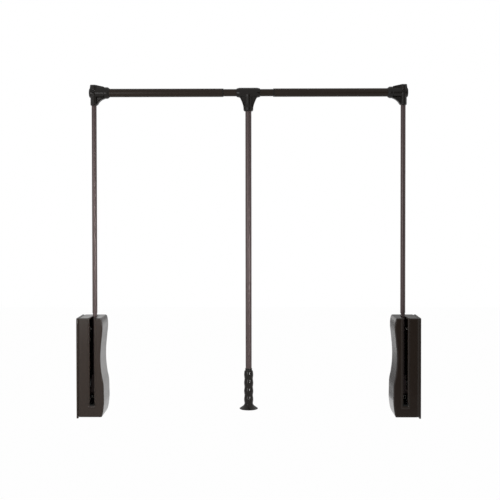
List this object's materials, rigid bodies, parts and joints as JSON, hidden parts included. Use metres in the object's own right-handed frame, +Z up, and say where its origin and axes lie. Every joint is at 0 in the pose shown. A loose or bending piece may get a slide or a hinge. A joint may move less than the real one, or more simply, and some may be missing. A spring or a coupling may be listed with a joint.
{
  "type": "pull down closet rod",
  "caption": "Wardrobe lift: two wall housings carry swinging arms and a telescopic hanging rail, with a pull rod to bring it down.",
  "frame": {"origin": "on the left housing's wall face, at the axis that the arms swing about", "axes": "+X along the rail to the right housing's wall face, -Y towards the user, +Z up"},
  "size_m": [0.89, 0.0998, 0.8674],
  "materials": {
    "housing_plastic": "dark brown-black moulded plastic, satin",
    "connector_plastic": "black moulded nylon, fine texture",
    "rail_paint": "dark brown powder coat",
    "arm_paint": "brown lacquered steel, satin",
    "zinc_steel": "zinc plated",
    "cast_zinc": "die cast, dull",
    "bush_plastic": "natural acetal",
    "spring_steel": "oiled spring steel",
    "rubber": "black rubber"
  },
  "bodies": {
    "left_housing": {"left_mounting_base": "housing_plastic", "left_housing_cover": "housing_plastic", "left_pivot_bracket": "zinc_steel", "left_bracket_screw_upper": "zinc_steel", "left_bracket_screw_lower": "zinc_steel", "left_pivot_axle": "zinc_steel", "left_axle_clip": "spring_steel", "left_spring_seat": "zinc_steel", "left_spring_seat_screw": "zinc_steel", "left_damper_body": "zinc_steel", "left_lift_spring": "spring_steel", "left_rest_buffer": "rubber", "left_stop_buffer": "rubber"},
    "left_frame": {"left_lift_lever": "cast_zinc", "left_axle_bush_wall_side": "bush_plastic", "left_axle_bush_room_side": "bush_plastic", "left_arm_tube": "arm_paint", "left_arm_screw": "zinc_steel", "left_elbow": "connector_plastic", "left_elbow_rail_screw": "zinc_steel", "left_elbow_arm_screw": "zinc_steel", "left_outer_rail": "rail_paint", "left_rail_bush": "connector_plastic"},
    "left_rack": {"left_rack": "cast_zinc", "left_piston_rod": "zinc_steel"},
    "right_housing": {"right_mounting_base": "housing_plastic", "right_housing_cover": "housing_plastic", "right_pivot_bracket": "zinc_steel", "right_bracket_screw_upper": "zinc_steel", "right_bracket_screw_lower": "zinc_steel", "right_pivot_axle": "zinc_steel", "right_axle_clip": "spring_steel", "right_spring_seat": "zinc_steel", "right_spring_seat_screw": "zinc_steel", "right_damper_body": "zinc_steel", "right_lift_spring": "spring_steel", "right_rest_buffer": "rubber", "right_stop_buffer": "rubber"},
    "right_frame": {"right_lift_lever": "cast_zinc", "right_axle_bush_wall_side": "bush_plastic", "right_axle_bush_room_side": "bush_plastic", "right_arm_tube": "arm_paint", "right_arm_screw": "zinc_steel", "right_elbow": "connector_plastic", "right_elbow_rail_screw": "zinc_steel", "right_elbow_arm_screw": "zinc_steel", "right_outer_rail": "rail_paint", "right_rail_bush": "connector_plastic"},
    "right_rack": {"right_rack": "cast_zinc", "right_piston_rod": "zinc_steel"},
    "inner_rail": {"inner_rail": "rail_paint"},
    "pull_rod": {"tee_connector": "connector_plastic", "tee_screw": "zinc_steel", "pull_rod": "arm_paint", "pull_rod_screw": "zinc_steel", "hand_grip": "connector_plastic", "grip_screw": "zinc_steel"}
  },
  "joints": [
    {"name": "arm_lift", "type": "hinge", "parent": "left_housing", "child": "left_frame", "pos_m": [0.04, 0, 0], "axis": [1, 0, 0], "range_deg": [0, 110], "stiffness_Nm_per_rad": 6, "springref_deg": -68.75},
    {"name": "left_rack_slide", "type": "slide", "parent": "left_housing", "child": "left_rack", "axis": [0, 0, 1], "range_m": [0, 0.0289], "deforming": ["left_lift_spring"]},
    {"name": "left_rail_extension", "type": "slide", "parent": "left_frame", "child": "inner_rail", "axis": [1, 0, 0], "range_m": [-0.03, 0.13]},
    {"name": "pull_rod_swivel", "type": "hinge", "parent": "inner_rail", "child": "pull_rod", "pos_m": [0.445, 0, 0.785], "axis": [1, 0, 0], "range_deg": [-115, 25]},
    {"name": "right_rail_extension", "type": "slide", "parent": "inner_rail", "child": "right_frame", "axis": [1, 0, 0], "range_m": [-0.03, 0.13]},
    {"name": "right_arm_pivot", "type": "hinge", "parent": "right_frame", "child": "right_housing", "pos_m": [0.85, 0, 0], "axis": [1, 0, 0], "range_deg": [-110, 0]},
    {"name": "right_rack_slide", "type": "slide", "parent": "right_housing", "child": "right_rack", "axis": [0, 0, 1], "range_m": [0, 0.0289], "deforming": ["right_lift_spring"]}
  ],
  "couplings": [
    {"joint": "left_rack_slide", "follows": "arm_lift", "m_per_rad": 0.015},
    {"joint": "right_arm_pivot", "follows": "arm_lift", "ratio": -1},
    {"joint": "right_rack_slide", "follows": "arm_lift", "m_per_rad": 0.015}
  ]
}
